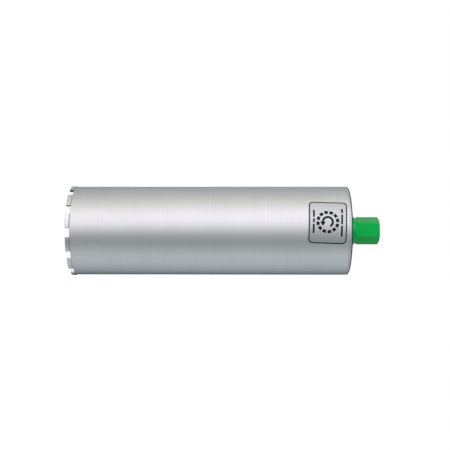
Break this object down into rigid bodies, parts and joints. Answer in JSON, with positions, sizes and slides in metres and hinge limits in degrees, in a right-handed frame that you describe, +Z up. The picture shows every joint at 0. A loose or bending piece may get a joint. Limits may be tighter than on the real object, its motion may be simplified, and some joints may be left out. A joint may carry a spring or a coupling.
{
  "type": "diamond core bit",
  "caption": "Thin-walled steel tube with diamond cutting segments round one end and a hexagonal threaded spindle connector on the other, for wet core drilling.",
  "frame": {"origin": "centre of the crown's cutting plane, on the bit's axis, where it stands on the floor", "axes": "+Z up the axis from the cutting segments to the connector, -Y towards the side with the label"},
  "size_m": [0.1516, 0.1516, 0.5207],
  "materials": {
    "silver_paint": "satin",
    "segment_paint": "satin",
    "green_paint": "gloss",
    "label_foil": "satin"
  },
  "bodies": {
    "root": {"core_tube": "silver_paint", "end_plate": "silver_paint", "plate_weld": "silver_paint", "hex_connector": "green_paint", "foot_weld": "silver_paint", "label": "label_foil", "segment_01": "segment_paint", "segment_02": "segment_paint", "segment_03": "segment_paint", "segment_04": "segment_paint", "segment_05": "segment_paint", "segment_06": "segment_paint", "segment_07": "segment_paint", "segment_08": "segment_paint", "segment_09": "segment_paint", "segment_10": "segment_paint", "segment_11": "segment_paint", "segment_12": "segment_paint"}
  },
  "joints": []
}
